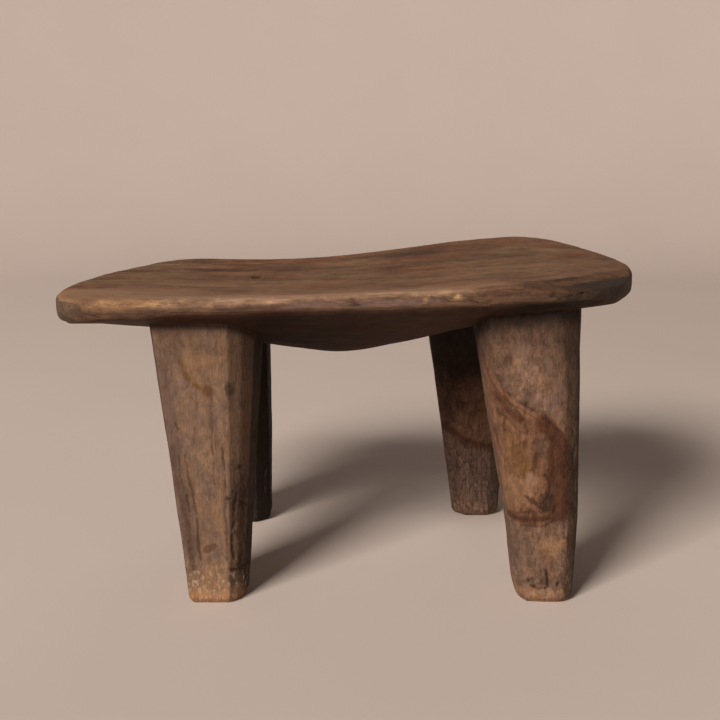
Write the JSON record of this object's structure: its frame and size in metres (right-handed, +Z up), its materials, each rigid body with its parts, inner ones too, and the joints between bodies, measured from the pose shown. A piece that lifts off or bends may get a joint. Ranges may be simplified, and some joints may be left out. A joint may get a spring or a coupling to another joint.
{
  "type": "headrest",
  "caption": "Low carved wooden headrest or stool: a bean-shaped dished seat with a rounded belly, on stout tapering faceted legs set into it with tapered tenons.",
  "frame": {"origin": "on the floor, under the middle of the object's bounding box", "axes": "+X along the seat, +Y from the straight front edge to the waisted back edge, +Z up"},
  "size_m": [0.3654, 0.239, 0.2002],
  "materials": {
    "seat_wood": "worn, hand-rubbed, dark patina",
    "leg_front_left_wood": "dry, weathered, adze-faceted",
    "leg_front_right_wood": "dry, weathered, with a reddish heart",
    "leg_back_left_wood": "dry, weathered, dark",
    "leg_back_right_wood": "dry, weathered, dark above and grey below"
  },
  "bodies": {
    "root": {"seat": "seat_wood", "leg_front_left": "leg_front_left_wood", "leg_front_right": "leg_front_right_wood", "leg_back_left": "leg_back_left_wood", "leg_back_right": "leg_back_right_wood"}
  },
  "joints": []
}
